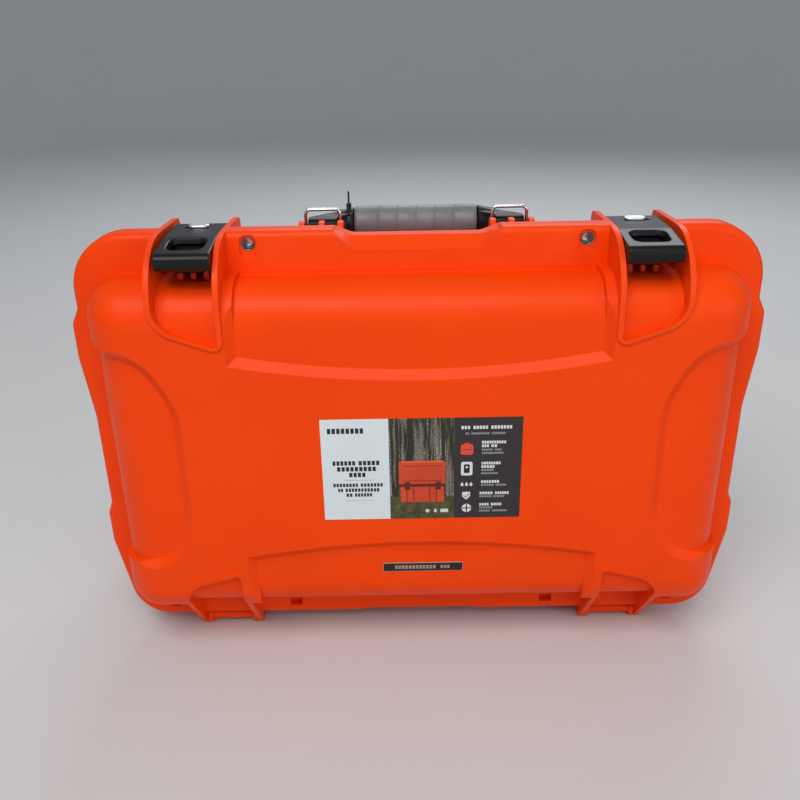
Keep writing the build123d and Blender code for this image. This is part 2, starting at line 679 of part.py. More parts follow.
def make_handle_grip():
    """Soft ribbed sleeve round the handle's bar."""
    half = GRIP_LENGTH / 2
    sleeve = x_rod(GRIP_R, -half + 1.4, half - 1.4, GRIP_PLACE)
    sleeve = fillet(sleeve.edges().filter_by(GeomType.CIRCLE), 3)
    sleeve -= x_rod(BAR_R, -half, half, GRIP_PLACE)
    for index in range(-2, 3):
        x = index * GROOVE_PITCH
        groove = x_rod(GRIP_R + 1, x - 0.7, x + 0.7, GRIP_PLACE)
        sleeve -= groove - x_rod(GRIP_R - 0.9, x - 1, x + 1, GRIP_PLACE)
    return sleeve


def make_handle_pin():
    """Pin through the right three lugs, with a head at each end."""
    low = LUGS[0] - LUG / 2 - 1.5
    high = LUGS[2] + LUG / 2 + 1.5
    pin = x_rod(PIN_R, low, high, HANDLE_PIVOT)
    return pin + x_rod(4, low - 1.5, low, HANDLE_PIVOT) + x_rod(4, high, high + 1.5, HANDLE_PIVOT)


def make_strap_ring():
    """Bent wire ring at the right end of the handle."""
    y, z = RING_PIVOT
    low, high = RING_LEGS
    plane = facing_lid(y)
    path = plane * FilletPolyline((low, z), (low, z + RING_RISE), (high, z + RING_RISE), (high, z),
                                  radius=[1.9, 4, 4, 1.9], close=True)
    section = Plane(origin=path @ 0, z_dir=path % 0) * Circle(RING_WIRE_R)
    return sweep(section, path=path)


def make_zip_tie(core):
    """Thin cable tie round the left shoulder of the handle, with its tail up."""
    y, z = TIE_PLACE
    band = x_rod(TIE_R, -57.4, -54.8, TIE_PLACE) - core
    head = box_between(-58.2, -54.2, y - 2.5, y + 2.5, z + TIE_R - 1, z + TIE_R + 3) - core
    tail = box_between(-57.0, -55.4, y - 0.5, y + 0.5, z + TIE_R + 3, TIE_TOP)
    return band + head + tail


# ---------------------------------------------------------------- build all
def main():
    """Build every sub-part and write one file for each."""
    core = make_handle_core()
    foam = foam_block()
    body = lid_body()
    parts = {
        "base_shell": make_base_shell(),
        "lid_shell": make_lid_shell(body),
        "gasket": make_gasket(),
        "foam_pad": make_foam_pad(foam),
        "foam_sheet_aircraft": make_foam_sheet(foam, -BEYOND, FOAM_SPLIT, AIRCRAFT_POCKETS),
        "foam_sheet_controller": make_foam_sheet(foam, FOAM_SPLIT, BEYOND, CONTROLLER_POCKETS),
        "lid_foam": make_lid_foam(),
        "label_sticker": make_label(),
        "nameplate": make_nameplate(),
        "top_rim_lid": make_top_rim(lid_rim()),
        "top_rim_base": make_top_rim(base_rim()),
        "padlock_bosses_lid": make_bosses(lid_rim(), -RIM_THICK, 0) - eyelet_pocket(),
        "padlock_bosses_base": make_bosses(base_rim(), 0, RIM_THICK),
        "padlock_eyelets_lid": make_eyelets(-RIM_THICK + 2, -SEAM_GAP),
        "padlock_eyelets_base": make_eyelets(0, RIM_THICK),
        "valve_body": make_valve_body(),
        "valve_cap": make_valve_cap(),
        "handle_core": core,
        "handle_grip": make_handle_grip(),
        "zip_tie": make_zip_tie(core),
    }
    paired = {
        "lid_latch_ribs": make_lid_latch_ribs(body),
        "lid_hinge_ribs": make_lid_hinge_ribs(body),
        "hinge_skids": make_hinge_skids(),
        "latch_ribs": make_latch_ribs(),
        "handle_lugs": make_handle_lugs(),
        "hinge_pin": make_hinge_pin(),
        "latch_body": make_latch_body(),
        "latch_claw": make_latch_claw(),
        "latch_pin": make_latch_pin(),
        "latch_slider": make_latch_slider(),
        "handle_pin": make_handle_pin(),
        "strap_ring": make_strap_ring(),
    }
    for name, shape in paired.items():
        for side_name, side in SIDES.items():
            parts[f"{name}_{side_name}"] = on_side(shape, side)
    for name, shape in parts.items():
        export_step(shape, f"parts/{name}.step")


main()
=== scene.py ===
import json
from math import cos, pi, radians, sin

import bmesh
import bpy
import numpy as np
from mathutils import Euler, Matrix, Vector


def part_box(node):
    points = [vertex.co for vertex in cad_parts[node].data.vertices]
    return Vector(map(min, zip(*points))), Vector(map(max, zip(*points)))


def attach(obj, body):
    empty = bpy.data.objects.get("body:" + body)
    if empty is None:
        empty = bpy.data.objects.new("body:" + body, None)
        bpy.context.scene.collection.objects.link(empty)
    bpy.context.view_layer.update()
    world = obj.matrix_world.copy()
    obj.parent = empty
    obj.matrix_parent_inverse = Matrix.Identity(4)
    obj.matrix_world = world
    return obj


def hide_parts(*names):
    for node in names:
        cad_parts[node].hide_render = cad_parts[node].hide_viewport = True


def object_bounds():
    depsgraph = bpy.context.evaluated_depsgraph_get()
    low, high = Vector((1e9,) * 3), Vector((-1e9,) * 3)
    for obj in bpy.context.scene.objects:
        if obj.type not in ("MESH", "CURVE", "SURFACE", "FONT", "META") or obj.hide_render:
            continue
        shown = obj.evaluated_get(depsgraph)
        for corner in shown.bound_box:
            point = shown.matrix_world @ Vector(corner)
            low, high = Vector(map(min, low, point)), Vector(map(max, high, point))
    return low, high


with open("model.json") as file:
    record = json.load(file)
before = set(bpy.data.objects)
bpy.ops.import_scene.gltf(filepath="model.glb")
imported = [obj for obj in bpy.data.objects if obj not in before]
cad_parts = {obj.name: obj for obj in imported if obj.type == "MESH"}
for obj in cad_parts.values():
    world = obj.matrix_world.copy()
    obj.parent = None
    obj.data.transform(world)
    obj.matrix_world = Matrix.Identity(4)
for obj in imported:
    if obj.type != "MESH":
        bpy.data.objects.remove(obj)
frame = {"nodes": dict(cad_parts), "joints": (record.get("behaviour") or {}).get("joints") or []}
cad_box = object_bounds()
MM = 0.001
WELD = 0.004 * MM                   # points of a CAD mesh closer than this are one
SIDES = {"left": -1, "right": 1}
SEAM_Y = next(joint["pos_m"][1] for joint in frame["joints"] if joint["name"] == "lid_hinge")

# camera: from the parting plane, and its three turns in degrees
LENS = 38.617
CAMERA_PLACE = (-0.0130, SEAM_Y - 0.66673, 0.52703)
CAMERA_TURN = (65.828, 0.984, -0.195)

# lights: name, place, target, size, power and colour
WORLD_COLOUR = (0.80, 0.86, 0.95, 1)
WORLD_STRENGTH = 0.33
LIGHTS = [
    ("key", (-0.4, -1.4, 2.1), (0, -0.05, 0.15), (1.8, 1.2), 38, (1.0, 0.98, 0.95)),
    ("low", (-0.2, -2.2, 0.35), (0, -0.1, 0.08), (1.8, 0.5), 2.5, (1.0, 0.96, 0.92)),
    ("fill", (1.8, -1.9, 0.9), (0, 0, 0.15), (1.6, 1.2), 13, (0.92, 0.96, 1.0)),
    ("back", (0.4, 1.9, 1.7), (0, 0, 0.3), (1.8, 0.8), 20, (0.95, 0.97, 1.0))]

# stage: a flat floor whose edge bends up
FLOOR_REACH = 3.6
FLOOR_BEND = 1.4
FLOOR_BEND_DEGREES = 80
FLOOR_SIDES = 96

# colours
ORANGE = (0.92, 0.062, 0.0005, 1)
ORANGE_SHADE = (0.86, 0.052, 0.0003, 1)
LATCH_BLACK = (0.006, 0.0062, 0.007, 1)
LATCH_SHADE = (0.004, 0.0042, 0.005, 1)
HANDLE_BLACK = (0.009, 0.009, 0.010, 1)
HANDLE_SHADE = (0.006, 0.006, 0.007, 1)
GRIP_GREY = (0.150, 0.150, 0.162, 1)
FOAM_GREY = (0.030, 0.031, 0.034, 1)
SEAL_BLACK = (0.012, 0.012, 0.013, 1)
VALVE_BLACK = (0.02, 0.02, 0.022, 1)
VALVE_SHADE = (0.014, 0.014, 0.015, 1)
SILVER = (0.80, 0.82, 0.86, 1)
CHROME = (0.86, 0.86, 0.88, 1)
STEEL = (0.20, 0.19, 0.19, 1)

# small shapes
GROOVE_PITCH = 15.8 * MM            # between the grip's five grooves
GROOVES = (-2, -1, 0, 1, 2)
GROOVE_SECTION = [                  # from a groove's middle, and how deep it is there, in mm
    (-1.2, 0.0), (-0.8, 0.10), (-0.4, 0.55), (0.0, 0.70), (0.4, 0.55), (0.8, 0.10), (1.2, 0.0)]
GRIP_ROUND = 3 * MM
GRIP_BORE = 9 * MM
RING_BENDS = (2.0, 4.0, 4.0, 2.0)   # bend radii of a strap ring, from its inner leg round, in mm
CRATE_PITCH = 32 * MM               # between the peaks of the lid foam
CRATE_DEPTH = 20 * MM
CRATE_ROUND = 26 * MM
BUSH_BORE = 4.2 * MM
BUSH_LIP = 0.9 * MM
BUSH_CHAMFER = 0.3 * MM
PRINT_STEP = 0.03 * MM              # between the layers of a print


# ---------------------------------------------------------------- camera and light
def add_camera():
    """The camera in front of the case, looking down at it."""
    data = bpy.data.cameras.new("camera")
    data.sensor_width = 36.0
    data.lens = LENS
    camera = bpy.data.objects.new("camera", data)
    camera.location = CAMERA_PLACE
    camera.rotation_euler = Euler([radians(turn) for turn in CAMERA_TURN])
    bpy.context.scene.collection.objects.link(camera)
    bpy.context.scene.camera = camera


def add_area_light(name, place, target, size, power, colour):
    """A soft rectangular light that faces a target point."""
    data = bpy.data.lights.new(name, "AREA")
    data.shape = "RECTANGLE"
    data.size, data.size_y = size
    data.energy = power
    data.color = colour
    lamp = bpy.data.objects.new(name, data)
    lamp.location = place
    lamp.rotation_euler = (Vector(target) - Vector(place)).to_track_quat("-Z", "Y").to_euler()
    bpy.context.scene.collection.objects.link(lamp)


def add_world():
    """Even pale light from all round."""
    world = bpy.data.worlds.new("studio")
    world.use_nodes = True
    background = world.node_tree.nodes["Background"]
    background.inputs["Color"].default_value = WORLD_COLOUR
    background.inputs["Strength"].default_value = WORLD_STRENGTH
    bpy.context.scene.world = world


# ---------------------------------------------------------------- node helpers
class Nodes:
    """Short calls for building one material's node tree."""

    def __init__(self, name, **sockets):
        self.material = bpy.data.materials.new(name)
        self.material.use_nodes = True
        self.tree = self.material.node_tree
        self.shader = self.tree.nodes["Principled BSDF"]
        for socket, value in sockets.items():
            self.shader.inputs[socket.replace("_", " ")].default_value = value
        self.coords = self.tree.nodes.new("ShaderNodeTexCoord").outputs["Object"]

    def add(self, kind, **inputs):
        """A node with the given inputs, linked if they are sockets."""
        node = self.tree.nodes.new(kind)
        for name, value in inputs.items():
            socket = node.inputs[name.replace("_", " ")]
            if isinstance(value, bpy.types.NodeSocket):
                self.tree.links.new(value, socket)
            else:
                socket.default_value = value
        return node

    def noise(self, scale, detail=3.0, roughness=0.5, vector=None):
        """Noise in object space, from 0 to 1."""
        return self.add("ShaderNodeTexNoise", Vector=vector or self.coords, Scale=scale,
                        Detail=detail, Roughness=roughness).outputs["Fac"]

    def remap(self, value, low, high, new_low, new_high):
        """Linear change of range, clamped."""
        return self.add("ShaderNodeMapRange", Value=value, From_Min=low, From_Max=high,
                        To_Min=new_low, To_Max=new_high).outputs["Result"]

    def math(self, operation, first, second=0.0):
        """One arithmetic step."""
        node = self.tree.nodes.new("ShaderNodeMath")
        node.operation = operation
        for socket, value in zip(node.inputs, (first, second)):
            if isinstance(value, bpy.types.NodeSocket):
                self.tree.links.new(value, socket)
            else:
                socket.default_value = value
        return node.outputs[0]

    def mix(self, factor, first, second):
        """A colour between two colours."""
        node = self.tree.nodes.new("ShaderNodeMix")
        node.data_type = "RGBA"
        for socket, value in ((node.inputs[0], factor), (node.inputs[6], first), (node.inputs[7], second)):
            if isinstance(value, bpy.types.NodeSocket):
                self.tree.links.new(value, socket)
            else:
                socket.default_value = value
        return node.outputs[2]

    def bump(self, height, strength, distance, normal=None):
        """A bump from a height, in metres of distance."""
        node = self.add("ShaderNodeBump", Height=height, Strength=strength, Distance=distance)
        if normal is not None:
            self.tree.links.new(normal, node.inputs["Normal"])
        return node.outputs["Normal"]

    def rounded(self, radius):
        """Shading normal with edges rounded to this radius, in metres."""
        node = self.add("ShaderNodeBevel", Radius=radius)
        node.samples = 6
        return node.outputs["Normal"]

    def edges(self, low, high):
        """1 on worn outer edges and 0 elsewhere."""
        point = self.tree.nodes.new("ShaderNodeNewGeometry").outputs["Pointiness"]
        return self.remap(point, low, high, 0.0, 1.0)

    def finish(self, colour=None, roughness=None, normal=None):
        """Link what was built to the shader."""
        for value, socket in ((colour, "Base Color"), (roughness, "Roughness"), (normal, "Normal")):
            if value is not None:
                self.tree.links.new(value, self.shader.inputs[socket])
        return self.material


def moulded_plastic(name, colour, shade, rough, grain=1600.0, wear=0.25, shine=0.45, rounding=0.0):
    """Moulded plastic: fine grain, soft colour drift, rubbed edges and faint scuffs."""
    n = Nodes(name, Specular_IOR_Level=shine)
    drift = n.noise(7.0, 4.0)
    base = n.mix(n.remap(drift, 0.3, 0.7, 0.0, 1.0), colour, shade)
    rubbed = n.math("MULTIPLY", n.edges(0.53, 0.60), n.remap(n.noise(60.0), 0.35, 0.65, 0.3, 1.0))
    pale = tuple(min(1.0, c * 1.25 + 0.02) for c in colour[:3]) + (1,)
    base = n.mix(n.math("MULTIPLY", rubbed, wear), base, pale)
    scuffs = n.add("ShaderNodeMapping", Vector=n.coords, Scale=(1.0, 1.0, 6.0)).outputs["Vector"]
    scuff = n.remap(n.noise(140.0, 6.0, 0.7, scuffs), 0.62, 0.72, 0.0, 1.0)
    roughness = n.math("ADD", n.remap(n.noise(18.0, 5.0), 0.3, 0.7, rough - 0.04, rough + 0.05),
                       n.math("MULTIPLY", scuff, 0.07))
    fine = n.noise(grain, 2.0, 0.6)
    wave = n.noise(22.0, 2.0)
    smooth = n.rounded(rounding) if rounding else None
    normal = n.bump(fine, 0.35, 0.00006, n.bump(wave, 0.10, 0.0008, smooth))
    return n.finish(base, roughness, normal)


def soft_foam(name, colour):
    """Open-cell foam: painted shade in its small holes, over a slightly mottled body."""
    n = Nodes(name, Roughness=0.95, Specular_IOR_Level=0.15, Sheen_Weight=0.25, Sheen_Roughness=0.6)
    cells = n.add("ShaderNodeTexVoronoi", Vector=n.coords, Scale=520.0).outputs["Distance"]
    pores_with_painted_shade = n.remap(cells, 0.08, 0.45, 0.0, 1.0)
    pale = tuple(c * 1.7 + 0.004 for c in colour[:3]) + (1,)
    # painted shade: the pore holes are painted at a third of the foam colour, where shade falls inside them
    dark = tuple(c * 0.35 for c in colour[:3]) + (1,)
    base = n.mix(pores_with_painted_shade, dark, n.mix(n.noise(35.0), colour, pale))
    normal = n.bump(pores_with_painted_shade, 0.7, 0.0006, n.bump(n.noise(60.0), 0.3, 0.001))
    return n.finish(base, None, normal)


def soft_rubber(name, colour, rough, grain=900.0):
    """Matte rubber with a dusty, uneven surface."""
    n = Nodes(name, Specular_IOR_Level=0.4, Sheen_Weight=0.15, Sheen_Roughness=0.5)
    pale = tuple(min(1.0, c * 1.35 + 0.01) for c in colour[:3]) + (1,)
    base = n.mix(n.remap(n.noise(45.0, 5.0), 0.4, 0.75, 0.0, 1.0), colour, pale)
    rubbed = n.math("MULTIPLY", n.edges(0.53, 0.62), 0.4)
    base = n.mix(rubbed, base, pale)
    roughness = n.remap(n.noise(70.0, 4.0), 0.3, 0.7, rough - 0.07, rough + 0.08)
    return n.finish(base, roughness, n.bump(n.noise(grain, 2.0), 0.4, 0.0001))


def metal(name, colour, rough, streak=(1.0, 1.0, 1.0), scratch=0.3):
    """Steel or chrome with fine drawn streaks and small scratches."""
    n = Nodes(name, Metallic=1.0)
    stretched = n.add("ShaderNodeMapping", Vector=n.coords, Scale=streak).outputs["Vector"]
    lines = n.noise(900.0, 3.0, 0.6, stretched)
    dull = tuple(c * 0.8 for c in colour[:3]) + (1,)
    base = n.mix(n.remap(n.noise(120.0, 4.0), 0.4, 0.7, 0.0, 0.6), colour, dull)
    roughness = n.remap(lines, 0.3, 0.7, max(0.02, rough - 0.06), rough + 0.08)
    return n.finish(base, roughness, n.bump(lines, scratch, 0.00003))


# ---------------------------------------------------------------- mesh helpers
def link_mesh(name, mesh):
    """A new object that holds a mesh."""
    piece = bpy.data.objects.new(name, mesh)
    bpy.context.scene.collection.objects.link(piece)
    return piece


def mesh_piece(name, points, faces, smooth=True):
    """A new object from points and faces, with normals facing out."""
    mesh = bpy.data.meshes.new(name)
    mesh.from_pydata([tuple(p) for p in points], [], [tuple(int(i) for i in f) for f in faces])
    work = bmesh.new()
    work.from_mesh(mesh)
    bmesh.ops.recalc_face_normals(work, faces=work.faces)
    work.to_mesh(mesh)
    work.free()
    mesh.polygons.foreach_set("use_smooth", [smooth] * len(mesh.polygons))
    return link_mesh(name, mesh)


def bake_modifiers(piece):
    """Replace a piece's mesh by its mesh with all modifiers applied."""
    graph = bpy.context.evaluated_depsgraph_get()
    mesh = bpy.data.meshes.new_from_object(piece.evaluated_get(graph))
    piece.modifiers.clear()
    piece.data = mesh


def welded_copy(node):
    """A CAD node's mesh as one closed skin, without its stored normals."""
    mesh = frame["nodes"][node].data.copy()
    mesh.materials.clear()
    if "custom_normal" in mesh.attributes:
        mesh.attributes.remove(mesh.attributes["custom_normal"])
    work = bmesh.new()
    work.from_mesh(mesh)
    bmesh.ops.remove_doubles(work, verts=work.verts, dist=WELD)
    bmesh.ops.dissolve_degenerate(work, edges=work.edges, dist=WELD / 40)
    work.to_mesh(mesh)
    work.free()
    return mesh


def moulded(node, voxel, passes):
    """A softened copy of a CAD node: its edges rounded as a mould leaves them."""
    piece = link_mesh(f"{node}_moulded", welded_copy(node))
    remesh = piece.modifiers.new("remesh", "REMESH")
    remesh.mode = "VOXEL"
    remesh.voxel_size = voxel
    soften = piece.modifiers.new("soften", "SMOOTH")
    soften.factor = 0.5
    soften.iterations = passes
    bake_modifiers(piece)
    piece.data.polygons.foreach_set("use_smooth", [True] * len(piece.data.polygons))
    return piece


def volume(mesh):
    """Volume inside a closed mesh, in cubic metres."""
    work = bmesh.new()
    work.from_mesh(mesh)
    size = work.calc_volume()
    work.free()
    return size


def joined(first, second):
    """Two meshes side by side in one."""
    work = bmesh.new()
    work.from_mesh(first)
    work.from_mesh(second)
    mesh = bpy.data.meshes.new("joined")
    work.to_mesh(mesh)
    work.free()
    return mesh


def fused(name, nodes):
    """One moulding made of CAD nodes that only touch, with smooth rounds and crisp creases."""
    whole = link_mesh(name, welded_copy(nodes[0]))
    for node in nodes[1:]:
        before = whole.data
        extra = link_mesh(f"{name}_extra", welded_copy(node))
        union = whole.modifiers.new("union", "BOOLEAN")
        union.operation = "UNION"
        union.solver = "EXACT"
        union.object = extra
        bake_modifiers(whole)
        expected = volume(before) + volume(extra.data)
        if abs(volume(whole.data) / expected - 1) > 0.002:
            whole.data = joined(before, extra.data)
        bpy.data.objects.remove(extra)
    whole.data.polygons.foreach_set("use_smooth", [True] * len(whole.data.polygons))
    whole.data.set_sharp_from_angle(angle=radians(25))
    return whole


def dress(piece, body, slot, material, *nodes):
    """Give a piece its material or materials, its body and the nodes it stands for; the slot argument is not
    used.
    """
    piece.data.materials.clear()
    for one in material if isinstance(material, list) else [material]:
        piece.data.materials.append(one)
    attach(piece, body)
    if nodes:
        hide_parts(*nodes)
    return piece


def paint(node, material):
    """Give a CAD node that stays visible a finished material."""
    piece = frame["nodes"][node]
    for index in range(len(piece.data.materials)):
        piece.data.materials[index] = material
    if not piece.data.materials:
        piece.data.materials.append(material)


def sweep_loop(name, path, radius, sides=24):
    """A closed tube along a closed list of points."""
    path = [Vector(p) for p in path]
    count = len(path)
    points, faces = [], []
    for i, here in enumerate(path):
        along = (path[(i + 1) % count] - path[i - 1]).normalized()
        side = along.cross(Vector((0, 1, 0))).normalized()
        up = side.cross(along).normalized()
        for k in range(sides):
            angle = 2 * pi * k / sides
            points.append(here + radius * (cos(angle) * side + sin(angle) * up))
    for i in range(count):
        for k in range(sides):
            a, b = i * sides, ((i + 1) % count) * sides
            faces.append((a + k, a + (k + 1) % sides, b + (k + 1) % sides, b + k))
    return mesh_piece(name, points, faces)


def lathe(name, profile, centre, axis, sides=96):
    """A turned piece from (along, radius) points round an axis X or Y or Z."""
    basis = {"X": ((1, 0, 0), (0, 1, 0), (0, 0, 1)), "Y": ((0, 1, 0), (0, 0, 1), (1, 0, 0)),
             "Z": ((0, 0, 1), (1, 0, 0), (0, 1, 0))}[axis]
    along, first, second = (Vector(v) for v in basis)
    centre = Vector(centre)
    points, faces = [], []
    for distance, radius in profile:
        for k in range(sides):
            angle = 2 * pi * k / sides
            points.append(centre + distance * along + radius * (cos(angle) * first + sin(angle) * second))
    rows = len(profile)
    for i in range(rows - 1):
        for k in range(sides):
            a, b, c = i * sides + k, i * sides + (k + 1) % sides, (i + 1) * sides + (k + 1) % sides
            faces.append((a, b, c, (i + 1) * sides + k))
    if profile[0] != profile[-1]:
        faces.append(tuple(range(sides)))
        faces.append(tuple((rows - 1) * sides + k for k in range(sides)))
    piece = mesh_piece(name, points, faces)
    if profile[0] == profile[-1]:
        work = bmesh.new()
        work.from_mesh(piece.data)
        bmesh.ops.remove_doubles(work, verts=work.verts, dist=1e-7)
        work.to_mesh(piece.data)
        work.free()
    return piece


# ---------------------------------------------------------------- shells
def make_shells():
    """Lid and base shells in moulded orange resin, each with all that is moulded on it."""
    resin = moulded_plastic("orange_resin", ORANGE, ORANGE_SHADE, 0.38, grain=1500.0, wear=0.25,
                            shine=0.13, rounding=1.2 * MM)
    lid = ["lid_shell", "top_rim_lid", "padlock_bosses_lid"]
    base = ["base_shell", "top_rim_base", "padlock_bosses_base"]
    for side in SIDES:
        lid += [f"lid_latch_ribs_{side}", f"lid_hinge_ribs_{side}"]
        base += [f"latch_ribs_{side}", f"handle_lugs_{side}", f"hinge_skids_{side}"]
    dress(fused("lid_moulding", lid), "case_lid", "case_orange", resin, *lid)
    dress(fused("base_moulding", base), "case_base", "case_orange", resin, *base)


# ---------------------------------------------------------------- latches
def make_latches():
    """Black levers, claws and silver lock sliders."""
    black = moulded_plastic("latch_resin", LATCH_BLACK, LATCH_SHADE, 0.34, grain=2200.0, wear=0.5,
                            shine=0.24)
    silver = metal("slider_metal", SILVER, 0.36, (1.0, 30.0, 30.0), 0.15)
    for side in SIDES:
        body = moulded(f"latch_body_{side}", 0.6 * MM, 6)
        dress(body, f"latch_{side}", "latch_black", black, f"latch_body_{side}")
        claw = moulded(f"latch_claw_{side}", 0.5 * MM, 4)
        dress(claw, f"latch_{side}", "latch_black", black, f"latch_claw_{side}")
        slider = moulded(f"latch_slider_{side}", 0.3 * MM, 4)
        dress(slider, f"lock_{side}", "slider_silver", silver, f"latch_slider_{side}")


# ---------------------------------------------------------------- handle
def grip_profile(half, radius):
    """Outline of the ribbed grip, as (along, radius) points, closed on itself."""
    points = [(-half, GRIP_BORE), (-half, radius - GRIP_ROUND)]
    for step in range(1, 9):
        turn = radians(90 * step / 8)
        points.append((-half + GRIP_ROUND * (1 - cos(turn)), radius - GRIP_ROUND * (1 - sin(turn))))
    for index in GROOVES:
        for offset, depth in GROOVE_SECTION:
            points.append((index * GROOVE_PITCH + offset * MM, radius - depth * MM))
    for step in range(8, -1, -1):
        turn = radians(90 * step / 8)
        points.append((half - GRIP_ROUND * (1 - cos(turn)), radius - GRIP_ROUND * (1 - sin(turn))))
    points += [(half, GRIP_BORE), (-half, GRIP_BORE)]
    return points


def ring_path(low, high, wire):
    """Middle line of a strap ring inside its box, with a bend at each corner."""
    left, right = low.x + wire, high.x - wire
    bottom, top = low.z + wire, high.z - wire
    corners = [(left, bottom, 1, 1), (left, top, 1, -1), (right, top, -1, -1), (right, bottom, -1, 1)]
    path = []
    for i, (x, z, inward, upward) in enumerate(corners):
        bend = RING_BENDS[i] * MM
        arc = []
        for k in range(9):
            turn = radians(90 * k / 8)
            arc.append((x + inward * bend * (1 - cos(turn)), (low.y + high.y) / 2,
                        z + upward * bend * (1 - sin(turn))))
        path += arc if i in (1, 3) else arc[::-1]
    return path


def make_handle():
    """Ribbed grey grip, black arms, chrome rings and the cable tie."""
    low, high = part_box("handle_grip")
    profile = grip_profile((high.x - low.x) / 2, (high.z - low.z) / 2)
    grip = lathe("handle_grip_sleeve", profile, (low + high) / 2, "X", 128)
    dress(grip, "top_handle", "grip_grey", soft_rubber("grip_rubber", GRIP_GREY, 0.44), "handle_grip")

    black = moulded_plastic("handle_resin", HANDLE_BLACK, HANDLE_SHADE, 0.40, grain=2000.0, wear=0.4,
                            shine=0.3)
    core = moulded("handle_core", 0.8 * MM, 6)
    dress(core, "top_handle", "handle_black", black, "handle_core")
    tie = moulded("zip_tie", 0.35 * MM, 2)
    dress(tie, "top_handle", "tie_black", black, "zip_tie")

    chrome = metal("ring_chrome", CHROME, 0.08, scratch=0.05)
    for side in SIDES:
        low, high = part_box(f"strap_ring_{side}")
        wire = (high.y - low.y) / 2
        ring = sweep_loop(f"strap_ring_{side}_wire", ring_path(low, high, wire), wire)
        dress(ring, f"ring_{side}", "ring_chrome", chrome, f"strap_ring_{side}")


# ---------------------------------------------------------------- foam and seal
def egg_crate(low, high):
    """A foam pad whose seam-side face is a field of rounded peaks."""
    step = CRATE_PITCH / 10
    nx = int(round((high.x - low.x) / step))
    nz = int(round((high.z - low.z) / step))
    points, faces = [], []
    for z in np.linspace(low.z, high.z, nz + 1):
        for x in np.linspace(low.x, high.x, nx + 1):
            wave = 0.5 + 0.25 * (sin(2 * pi * x / CRATE_PITCH) + sin(2 * pi * z / CRATE_PITCH))
            edge = min(x - low.x, high.x - x, z - low.z, high.z - z) / (0.4 * CRATE_PITCH)
            points.append((x, high.y - CRATE_DEPTH * (1 - wave * min(1.0, edge + 0.15)), z))
    row = nx + 1
    for j in range(nz):
        for i in range(nx):
            a = j * row + i
            faces.append((a, a + 1, a + row + 1, a + row))
    border = ([i for i in range(row)] + [j * row + nx for j in range(1, nz + 1)]
              + [nz * row + i for i in range(nx - 1, -1, -1)] + [j * row for j in range(nz - 1, 0, -1)])
    rings = [border]
    for k in range(1, 8):
        turn = radians(90 * k / 7)
        inset = CRATE_ROUND * (1 - cos(turn))
        y = low.y + CRATE_ROUND * (1 - sin(turn))
        ring = []
        for index in border:
            x, _, z = points[index]
            ring.append(len(points))
            points.append((min(max(x, low.x + inset), high.x - inset), y,
                           min(max(z, low.z + inset), high.z - inset)))
        rings.append(ring)
    for first, second in zip(rings, rings[1:]):
        for i in range(len(border)):
            j = (i + 1) % len(border)
            faces.append((first[i], first[j], second[j], second[i]))
    faces.append(tuple(rings[-1]))
    return mesh_piece("lid_foam_egg_crate", points, faces)


def make_inside():
    """Foam inserts and the rubber seal."""
    foam = soft_foam("case_foam", FOAM_GREY)
    pad = egg_crate(*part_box("lid_foam"))
    dress(pad, "case_lid", "foam_dark", foam, "lid_foam")
    for node in ("foam_pad", "foam_sheet_aircraft", "foam_sheet_controller"):
        insert = moulded(node, 2.6 * MM, 3)
        dress(insert, "case_base", "foam_dark", foam, node)
    seal = moulded("gasket", 0.8 * MM, 4)
    dress(seal, "case_base", "gasket_black", soft_rubber("seal_rubber", SEAL_BLACK, 0.6), "gasket")


# ---------------------------------------------------------------- small fittings
def bush_profile(length, outer):
    """Outline of a padlock bush with rounded mouths, as (along, radius) points."""
    profile = [(0, BUSH_BORE + BUSH_LIP)]
    for k in range(1, 7):
        turn = radians(90 * k / 6)
        profile.append((BUSH_LIP * (1 - cos(turn)), BUSH_BORE + BUSH_LIP * (1 - sin(turn))))
    for k in range(6, -1, -1):
        turn = radians(90 * k / 6)
        profile.append((length - BUSH_LIP * (1 - cos(turn)), BUSH_BORE + BUSH_LIP * (1 - sin(turn))))
    profile += [(length, outer - BUSH_CHAMFER), (length - BUSH_CHAMFER, outer), (BUSH_CHAMFER, outer),
                (0, outer - BUSH_CHAMFER), (0, BUSH_BORE + BUSH_LIP)]
    return profile


def make_bushes(node, body, steel):
    """The two padlock bushes of one half of the flange."""
    low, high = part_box(node)
    outer = (high.z - low.z) / 2
    profile = bush_profile(high.y - low.y, outer)
    for side, sign in SIDES.items():
        centre = (sign * (high.x - outer), low.y, (low.z + high.z) / 2)
        bush = lathe(f"{node}_{side}", profile, centre, "Y", 64)
        dress(bush, body, "steel", steel)
        if side == "left":
            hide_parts(node)


def make_fittings():
    """Padlock bushes, pins and the pressure valve."""
    steel = metal("bush_steel", STEEL, 0.30, (1.0, 20.0, 1.0), 0.2)
    make_bushes("padlock_eyelets_lid", "case_lid", steel)
    make_bushes("padlock_eyelets_base", "case_base", steel)
    for side in SIDES:
        for node in (f"hinge_pin_{side}", f"latch_pin_{side}", f"handle_pin_{side}"):
            paint(node, steel)
    resin = moulded_plastic("valve_resin", VALVE_BLACK, VALVE_SHADE, 0.45)
    for node in ("valve_body", "valve_cap"):
        dress(moulded(node, 0.5 * MM, 3), "case_base", "valve_black", resin, node)


